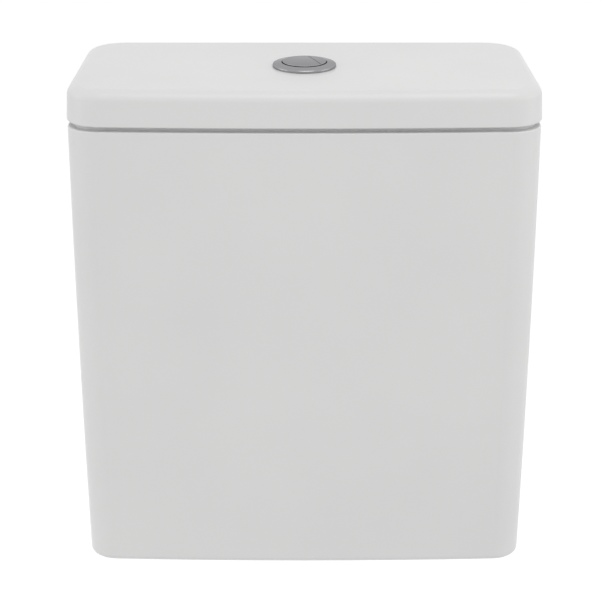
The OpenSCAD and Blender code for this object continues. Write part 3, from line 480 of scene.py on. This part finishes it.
gasket = bmesh.new()
nest_z = big_nut_low.z - slip_fit
nest_r = big_nut_r + slip_fit
gasket_r = gasket_high.x
turned(gasket, [(tail_r + slip_fit, gasket_low.z), (gasket_r - gasket_lead, gasket_low.z),
                (gasket_r, gasket_low.z + gasket_lead), (gasket_r, gasket_high.z), (nest_r, gasket_high.z),
                (nest_r, nest_z), (tail_r + slip_fit, nest_z)], steps=96)
soften(gasket, 1.6 * mm, angle=25)
foam = finish("black_foam", ((0.018, 0.018, 0.019), (0.032, 0.032, 0.032)), (0.75, 0.92), cloud=90, grain=700,
              relief=0.25 * mm)
place("pan_gasket", gasket, foam, "cistern", "black_rubber", "coupling_gasket")

# Flush valve: a white cage and guide tower carry two rockers on steel pins. The full-flush rocker
# lifts the overflow tube and its seal by a blue yoke, and the other lifts a strip with a float.
blue_plastic = finish("blue_plastic", ((0.055, 0.19, 0.50), (0.045, 0.16, 0.44)), (0.28, 0.40), cloud=40,
                      grain=1400, relief=0.012 * mm)
float_plastic = finish("grey_plastic", ((0.44, 0.47, 0.51), (0.39, 0.42, 0.46)), (0.45, 0.60), cloud=30,
                       grain=1100, relief=0.02 * mm)
steel = finish("drawn_steel", ((0.62, 0.62, 0.64), (0.52, 0.52, 0.54)), (0.18, 0.30), cloud=300, grain=2600,
               relief=0.006 * mm, metallic=1)
silicone = finish("red_silicone", ((0.42, 0.050, 0.035), (0.36, 0.042, 0.030)), (0.40, 0.52), cloud=60,
                  grain=900, relief=0.02 * mm)


def dress(node, material, ease=0.5 * mm):
    """Gives a CAD node its finish, with its edges eased as a moulding's are."""
    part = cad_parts[node]
    part.material_slots[0].material = material
    part.modifiers.new("join", "WELD").merge_threshold = 0.001 * mm
    edges = part.modifiers.new("eased edges", "BEVEL")
    edges.width = ease
    edges.segments = 2
    edges.limit_method = "ANGLE"
    edges.angle_limit = radians(40)
    part.modifiers.new("even shading", "WEIGHTED_NORMAL").keep_sharp = True


for node in ("valve_cage", "valve_tower", "half_flush_link", "half_flush_rocker"):
    dress(node, white_plastic)
for node in ("lift_yoke", "full_flush_rocker"):
    dress(node, blue_plastic)
dress("half_flush_float", float_plastic, 1 * mm)
dress("rocker_pins", steel, 0.3 * mm)

tube_low, tube_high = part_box("overflow_tube")
tube_r = 14 * mm
tube_bore = 12 * mm
plate_z = (51 * mm, 55 * mm)
plate_r = tube_high.x
float_low, float_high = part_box("full_flush_float")
yoke_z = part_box("lift_yoke")[0].z
stop = 4 * mm
stop_collar_r = 17 * mm
spigot_r = 20 * mm

tube = bmesh.new()
outline = [(tube_bore, tube_low.z), (spigot_r, tube_low.z), (spigot_r, plate_z[0]), (plate_r, plate_z[0]),
           (plate_r, plate_z[1]), (tube_r, plate_z[1])]
for z in (float_low.z, yoke_z):
    outline += [(tube_r, z - stop), (stop_collar_r, z - stop), (stop_collar_r, z), (tube_r, z)]
turned(tube, outline + [(tube_r, tube_high.z), (tube_bore, tube_high.z)])
soften(tube, 0.5 * mm)
place("overflow_pipe", tube, white_plastic, "flush_tube", "white_plastic", "overflow_tube")

disc = bmesh.new()
disc_bore = spigot_r + 0.05 * mm
turned(disc, [(disc_bore, tube_low.z), (plate_r, tube_low.z), (plate_r, plate_z[0]), (disc_bore, plate_z[0])])
soften(disc, 0.7 * mm)
place("outlet_seal", disc, silicone, "flush_tube", "red_silicone", "flush_seal")

cup = bmesh.new()
skin = 1.4 * mm
inner, outer, crown = tube_r + 0.05 * mm, float_high.x, float_high.z - 3 * mm
turned(cup, [(inner, float_low.z), (inner + skin, float_low.z), (inner + skin, crown), (outer - skin, crown),
             (outer - skin, float_low.z), (outer, float_low.z), (outer, float_high.z), (inner, float_high.z)])
soften(cup, 0.4 * mm)
place("full_flush_cup", cup, float_plastic, "flush_tube", "float_grey", "full_flush_float")

# Fill valve: a brass tail screwed through the floor carries a plastic riser and valve head. A float
# round the riser lifts a blue lever by a screwed rod, and a side tube leads the water down quietly.
brass = finish("turned_brass", ((0.62, 0.44, 0.18), (0.50, 0.35, 0.14)), (0.22, 0.38), cloud=60, grain=900,
               relief=0.01 * mm, metallic=1, stretch=(1, 1, 14))
gauze = finish("strainer_gauze", ((0.62, 0.56, 0.36), (0.30, 0.26, 0.15)), (0.50, 0.65), cloud=900,
               grain=1800, relief=0.15 * mm)
tail_low, tail_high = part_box("inlet_tail")
inlet_r = 10.48 * mm
inlet_grip_r = 10.13 * mm
inlet_bore = 5 * mm
inlet_flange_r = 17 * mm
inlet_pitch = 1.814 * mm
inlet_thread = 1.1 * mm
spigot_grip_r = 8.95 * mm
neck_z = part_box("riser_tube")[0].z
inlet_nut_low, inlet_nut_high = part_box("inlet_back_nut")

tail = bmesh.new()
tail_core = inlet_r - inlet_thread
thread_end = inlet_nut_low.z - 1 * mm
turned(tail, [(inlet_bore, tail_low.z), (tail_core, tail_low.z), (tail_core, thread_end),
              (inlet_grip_r, thread_end), (inlet_grip_r, flange_z), (inlet_flange_r, flange_z),
              (inlet_flange_r, neck_z), (spigot_grip_r, neck_z), (spigot_grip_r, tail_high.z),
              (inlet_bore, tail_high.z)], inlet_x)
soften(tail, 0.4 * mm)
wind_thread(tail, tail_low.z + 0.4 * mm, thread_end, inlet_r, inlet_pitch, inlet_thread, inlet_x, steps=36)
place("inlet_thread", tail, brass, "cistern", "brass", "inlet_tail")

washer = bmesh.new()
turned(washer, [(inlet_r + slip_fit, tank_floor_z), (inlet_flange_r, tank_floor_z), (inlet_flange_r, flange_z),
                (inlet_r + slip_fit, flange_z)], inlet_x)
soften(washer, 0.6 * mm)
place("inlet_seal", washer, rubber, "cistern", "black_rubber", "inlet_washer")

inlet_nut = bmesh.new()
nut(inlet_nut, inlet_nut_low.z, inlet_nut_high.z, 17 * mm, inlet_grip_r + 0.05 * mm, inlet_x, ease=1 * mm)
place("inlet_nut", inlet_nut, white_plastic, "cistern", "white_plastic", "inlet_back_nut")

riser = bmesh.new()
riser_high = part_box("riser_tube")[1].z
stop_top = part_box("fill_float")[0].z - slip_fit
riser_r, riser_bore, stop_r = 11 * mm, 9 * mm, 13.5 * mm
stop_low = stop_top - 6 * mm
turned(riser, [(riser_bore, neck_z), (riser_r, neck_z), (riser_r, stop_low), (stop_r, stop_low),
               (stop_r, stop_top), (riser_r, stop_top), (riser_r, riser_high), (riser_bore, riser_high)],
       inlet_x)
soften(riser, 0.4 * mm)
place("riser", riser, white_plastic, "cistern", "white_plastic", "riser_tube")

side_tube = bmesh.new()
spout_low, spout_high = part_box("refill_tube")
spout_y = (spout_low.y + spout_high.y) / 2
spout_r, spout_bore = 6.5 * mm, 5 * mm
turned(side_tube, [(spout_bore, spout_low.z), (spout_r, spout_low.z), (spout_r, spout_high.z),
                   (spout_bore, spout_high.z)], inlet_x, spout_y, steps=40)
soften(side_tube, 0.4 * mm)
place("quiet_tube", side_tube, white_plastic, "cistern", "white_plastic", "refill_tube")

rod = bmesh.new()
rod_low, rod_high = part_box("float_adjuster")
rod_x = (rod_low.x + rod_high.x) / 2
float_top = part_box("fill_float")[1].z
rod_end_r, rod_core, rod_r = 1.5 * mm, 1.9 * mm, 2.5 * mm
rod_pitch, rod_thread = 1.5 * mm, 0.6 * mm
collar = 3 * mm
collar_r = (rod_high.x - rod_low.x) / 2
eye_z = rod_high.z - 14 * mm
collars = (eye_z - 7.5 * mm, eye_z + 4.5 * mm)
outline = [(0, rod_low.z), (rod_end_r, rod_low.z), (rod_end_r, float_top), (rod_core, float_top)]
for z in collars:
    outline += [(rod_core, z), (collar_r, z), (collar_r, z + collar), (rod_core, z + collar)]
turned(rod, outline + [(rod_core, rod_high.z), (0, rod_high.z)], rod_x, steps=32)
soften(rod, 0.3 * mm, segments=2)
for low, high in ((float_top + 0.5 * mm, collars[0]), (collars[1] + collar, rod_high.z - 0.5 * mm)):
    wind_thread(rod, low, high, rod_r, rod_pitch, rod_thread, rod_x, steps=20)
place("float_rod", rod, white_plastic, "fill_float", "white_plastic", "float_adjuster")

dress("fill_valve_head", white_plastic)
dress("fill_valve_cap", blue_plastic)
dress("float_lever", blue_plastic)
dress("fill_float", float_plastic, 1.2 * mm)
dress("float_lever_pin", steel, 0.3 * mm)
dress("valve_diaphragm", rubber, 0.3 * mm)
dress("inlet_filter", gauze, 0.2 * mm)

# Lid: a shallow china tray, cast upside down, with a rounded top edge and a lip below that drops
# inside the tank's rim. Four clear pads glued under it keep china off china.
lid_low, lid_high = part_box("lid")
lid_top_z = lid_high.z
lid_foot_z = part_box("lid_pads")[1].z
lid_half = 180 * mm
lid_front = 78.5 * mm
lid_back = wall_y - 0.4 * mm
lid_corner = 28 * mm
lid_back_corner = 29 * mm
lid_edge_radius = 8 * mm
lid_hem_radius = 1 * mm
lip_radius = 1.5 * mm
ceiling_radius = 5 * mm
lid_draft = tan(radians(2)) * (lid_top_z - lid_foot_z)
lip_inset = 13 * mm
lip_wall = 6 * mm
lid_ceiling_z = lid_top_z - 8 * mm
button_hole = 19.8 * mm

lid = bmesh.new()
face = plan_face(lid, lid_half, lid_front, lid_back, lid_corner, lid_back_corner, lid_foot_z).copy()
draw_face(lid, face, lid_top_z, 1 - lid_draft / lid_half, 1 - 2 * lid_draft / (lid_front + lid_back),
          (lid_back - lid_front) / 2)
seal(lid)
face = ring_in(lid, level_face(lid, lid_foot_z), lid_half - lip_inset, lid_front - lip_inset,
               lid_back - lip_inset, lid_corner - lip_inset, lid_back_corner - lip_inset)
face = draw_face(lid, face, lid_low.z)
lip_reach = lip_inset + lip_wall
face = ring_in(lid, face, lid_half - lip_reach, lid_front - lip_reach, lid_back - lip_reach,
               lid_corner - lip_reach, lid_back_corner - lip_reach)
draw_face(lid, face, lid_ceiling_z)
round_level(lid, lid_top_z, lid_edge_radius, segments=10)
round_level(lid, lid_foot_z, lid_hem_radius, segments=4)
round_level(lid, lid_low.z, lip_radius, segments=4)
round_level(lid, lid_ceiling_z, ceiling_radius)
drill(lid, ((0, 0, lid_ceiling_z - over), (0, 0, lid_top_z + over), button_hole), sides=64)
place("lid_body", lid, fired_glaze("lid_glaze", lid_low.z + 0.4 * mm), "lid", "glazed_white", "lid")

pads = bmesh.new()
pad_low, pad_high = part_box("lid_pads")
pad_r = 1.75 * mm
pad_reach = 45 * mm
side_lean = back_narrowing / (rim_front + wall_y)
for side in (-1, 1):
    for y in (-pad_reach, pad_reach):
        x = side * (rim_half - side_lean * (y + rim_front) - (tank_wall + rim_ledge) / 2)
        turned(pads, [(0, pad_low.z), (pad_r, pad_low.z), (pad_r, pad_high.z), (0, pad_high.z)], x, y,
               steps=24)
soften(pads, 0.25 * mm)
clear_pad = finish("clear_pad", ((0.74, 0.74, 0.72), (0.68, 0.68, 0.66)), (0.25, 0.35), cloud=200, grain=1500,
                   relief=0.01 * mm, plain={"Transmission Weight": 0.4, "IOR": 1.45})
place("rest_pads", pads, clear_pad, "lid", "soft_pad", "lid_pads")

# Push button: a chrome-plated ring drops through the lid over a screwed white housing, held from
# below by a large nut. The ring is hollow, and its face slopes up to a crest beside the two caps.
bezel_low, bezel_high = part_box("button_bezel")
bezel_r = bezel_high.x
bezel_inner = 17.4 * mm
bezel_wall = 1.2 * mm
bezel_edge = 1 * mm
bezel_side = 1.3 * mm
crest_ease = 0.3 * mm
housing_low, housing_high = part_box("button_housing")
housing_r = 19.4 * mm
housing_bore = 17.3 * mm
skirt_bore = 17.7 * mm
housing_flange = housing_high.x
shelf_z = (367 * mm, 370 * mm)
cap_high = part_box("full_flush_button")[1].z
cap_r = 17 * mm
cap_under = cap_high - 3 * mm
cap_dish = 0.7 * mm
rod_spread = 14.6 * mm
stem_r = 1.5 * mm

bezel = bmesh.new()
edge_centre = Vector((bezel_r - bezel_edge, lid_top_z + bezel_side))
crest = Vector((bezel_inner + crest_ease, bezel_high.z))
rise = crest - edge_centre
edge_turn = atan2(rise.y, rise.x) - acos(bezel_edge / rise.length)
turns = [edge_turn * i / 8 for i in range(9)]
rounded = [edge_centre + bezel_edge * Vector((cos(turn), sin(turn))) for turn in turns]
turned(bezel, [(bezel_inner, housing_high.z), (bezel_r - bezel_wall, housing_high.z),
               (bezel_r - bezel_wall, bezel_low.z), (bezel_r, bezel_low.z), *rounded, crest,
               (bezel_inner, bezel_high.z - crest_ease)], steps=128)
chrome = finish("polished_chrome", ((0.37, 0.37, 0.38), (0.34, 0.34, 0.35)), (0.10, 0.16), cloud=70,
                grain=1800, relief=0.004 * mm, metallic=1, plain={"Specular Tint": (0.65, 0.65, 0.66, 1)})
place("bezel_ring", bezel, chrome, "lid", "chrome_bezel", "button_bezel", crisp=50)

housing = bmesh.new()
housing_pitch, housing_thread = 3 * mm, 0.9 * mm
housing_core = housing_r - housing_thread
turned(housing, [(0, shelf_z[0]), (skirt_bore, shelf_z[0]), (skirt_bore, housing_low.z),
                 (housing_core, housing_low.z), (housing_core, lid_top_z), (housing_flange, lid_top_z),
                 (housing_flange, housing_high.z), (housing_bore, housing_high.z), (housing_bore, shelf_z[1]),
                 (0, shelf_z[1])], steps=96)
soften(housing, 0.3 * mm, segments=2)
drill(housing, *[((x, 0, shelf_z[0] - over), (x, 0, shelf_z[1] + over), stem_r + 0.05 * mm)
                 for x in (-rod_spread, rod_spread)], sides=24)
wind_thread(housing, housing_low.z + 0.5 * mm, lid_top_z - 0.5 * mm, housing_r, housing_pitch, housing_thread,
            steps=64)
place("button_sleeve", housing, white_plastic, "lid", "white_plastic", "button_housing")

ring_nut = bmesh.new()
ring_low, ring_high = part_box("button_lock_nut")
ring_nut_r = 27 * mm
nut(ring_nut, ring_low.z, ring_high.z, ring_nut_r, housing_r + 0.05 * mm, sides=8, ease=1 * mm)
place("sleeve_nut", ring_nut, white_plastic, "lid", "white_plastic", "button_lock_nut")

# Caps: the round top is split by an arc into a full-flush cap and a small half-flush cap, moulded
# and satin plated. Each stands on a stem and coil spring, and its rod presses a rocker below.
split_r = 90 * mm
split_gap = 0.4 * mm
split_centre = Matrix.Rotation(radians(20), 3, "Z") @ Vector((9.3 * mm - split_r, 0, 0))
satin = finish("satin_chrome", ((0.58, 0.58, 0.585), (0.54, 0.54, 0.545)), (0.16, 0.24), cloud=90, grain=2200,
               relief=0.006 * mm, metallic=1, plain={"Specular Tint": (0.42, 0.42, 0.43, 1)})


def cap(side, cut_r, keep):
    """Dished round cap cut along the split, on its stem."""
    bm = bmesh.new()
    dish_r = cap_r - 0.6 * mm
    lip = 0.3 * mm
    dish = [(dish_r * i / 6, cap_high - cap_dish * (1 - (i / 6) ** 2)) for i in range(7)]
    turned(bm, [(0, cap_under), (cap_r - lip, cap_under), (cap_r - lip, cap_high - 0.9 * mm),
                (cap_r, cap_high - 0.15 * mm), (cap_r - 0.05 * mm, cap_high), *dish[::-1]], steps=128)
    ends = [split_centre + Vector((0, 0, z)) for z in (cap_under - over, cap_high + over)]
    drill(bm, (*ends, cut_r), sides=256, keep=keep)
    soften(bm, 0.08 * mm, segments=2, angle=60)
    stem_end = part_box("full_flush_button")[0].z
    turned(bm, [(0, stem_end), (stem_r, stem_end), (stem_r, cap_under + 0.5 * mm), (0, cap_under + 0.5 * mm)],
           side * rod_spread, steps=24)
    return bm


def coil(side):
    """Round wire wound round a stem."""
    bm = bmesh.new()
    low, high = (v.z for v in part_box("full_button_spring"))
    wire_r, mean_r, turns, steps = 0.3 * mm, 2.05 * mm, 9, 24
    x = side * rod_spread
    start = Matrix.Translation((x + mean_r, 0, low + wire_r)) @ Matrix.Rotation(pi / 2, 4, "X")
    wire = bmesh.ops.create_circle(bm, segments=8, radius=wire_r, matrix=start)["verts"]
    bmesh.ops.spin(bm, geom=wire + list(bm.edges), cent=(x, 0, 0), axis=(0, 0, 1), angle=2 * pi * turns,
                   steps=turns * steps, dvec=(0, 0, (high - low - 2 * wire_r) / (turns * steps)))
    bmesh.ops.holes_fill(bm, edges=[e for e in bm.edges if e.is_boundary])
    return bm


for name, side, cut_r, keep, plastic in (("full", -1, split_r - split_gap / 2, "INTERSECT", blue_plastic),
                                         ("half", 1, split_r + split_gap / 2, "DIFFERENCE", white_plastic)):
    node = name + "_flush_button"
    place(name + "_cap", cap(side, cut_r, keep), satin, name + "_button", "chrome_satin", node, crisp=50)
    dress(name + "_flush_rod", plastic, 0.4 * mm)
    spring = place(name + "_coil", coil(side), steel, "lid", "bright_steel", name + "_button_spring")
    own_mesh(spring)

# Studio: the tank stands as high as its pan would hold it, over a pale floor, in even white light
# with a soft lamp above in front and one at each side. The camera looks down at the lid from in front.
lights = bpy.data.worlds.new("white_room")
bpy.context.scene.world = lights
lights.use_nodes = True


def seen_directly(tree):
    """1 for what the camera, a reflection or glass shows, and 0 for light on a surface."""
    path = tree.nodes.new("ShaderNodeLightPath")
    either = tree.nodes.new("ShaderNodeMath")
    either.operation = "MAXIMUM"
    any_of = tree.nodes.new("ShaderNodeMath")
    any_of.operation = "MAXIMUM"
    tree.links.new(path.outputs["Is Camera Ray"], either.inputs[0])
    tree.links.new(path.outputs["Is Glossy Ray"], either.inputs[1])
    tree.links.new(either.outputs[0], any_of.inputs[0])
    tree.links.new(path.outputs["Is Transmission Ray"], any_of.inputs[1])
    return any_of.outputs[0]


sky = lights.node_tree
lit = sky.nodes["Background"]
lit.inputs["Color"].default_value = (1, 1, 1, 1)
lit.inputs["Strength"].default_value = 0.65
shown = sky.nodes.new("ShaderNodeBackground")
shown.inputs["Color"].default_value = (1, 1, 1, 1)
either = sky.nodes.new("ShaderNodeMixShader")
sky.links.new(seen_directly(sky), either.inputs["Fac"])
sky.links.new(lit.outputs[0], either.inputs[1])
sky.links.new(shown.outputs[0], either.inputs[2])
sky.links.new(either.outputs[0], sky.nodes["World Output"].inputs["Surface"])

floor_z = -0.4
floor = bmesh.new()
bmesh.ops.create_grid(floor, x_segments=1, y_segments=1, size=8, matrix=Matrix.Translation((0, 0, floor_z)))
floor_mesh = bpy.data.meshes.new("floor")
floor.to_mesh(floor_mesh)
floor.free()
paint = bpy.data.materials.new("floor_paint")
paint.use_nodes = True
matt = paint.node_tree.nodes["Principled BSDF"]
matt.inputs["Base Color"].default_value = (0.9, 0.9, 0.9, 1)
matt.inputs["Roughness"].default_value = 0.9
matt.inputs["Specular IOR Level"].default_value = 0.1
matt.inputs["Emission Color"].default_value = (1, 1, 1, 1)
dim = paint.node_tree.nodes.new("ShaderNodeMath")
dim.operation = "MULTIPLY"
dim.inputs[1].default_value = 0.4
paint.node_tree.links.new(seen_directly(paint.node_tree), dim.inputs[0])
paint.node_tree.links.new(dim.outputs[0], matt.inputs["Emission Strength"])
floor_mesh.materials.append(paint)
floor_piece = bpy.data.objects.new("floor", floor_mesh)
bpy.context.scene.collection.objects.link(floor_piece)

for name, spot, size, power in (("key_lamp", (0.25, -1.1, 2.2), 1.6, 12),
                                ("left_lamp", (-2.2, -0.3, 0.6), 1.6, 6),
                                ("right_lamp", (2.2, -0.3, 0.6), 1.6, 5)):
    lamp = bpy.data.objects.new(name, bpy.data.lights.new(name, "AREA"))
    lamp.data.shape = "DISK"
    lamp.data.size = size
    lamp.data.energy = power
    lamp.location = spot
    lamp.rotation_euler = (Vector((0, 0, 0.2)) - lamp.location).to_track_quat("-Z", "Y").to_euler()
    bpy.context.scene.collection.objects.link(lamp)

camera = bpy.data.objects.new("camera", bpy.data.cameras.new("camera"))
camera.data.lens = 36 * 2403 / 603
camera.location = (-0.0022, -1.8081, 0.8405)
camera.rotation_euler = (radians(70.381), 0, 0)
bpy.context.scene.collection.objects.link(camera)
bpy.context.scene.camera = camera
bpy.context.scene.view_settings.view_transform = "Standard"
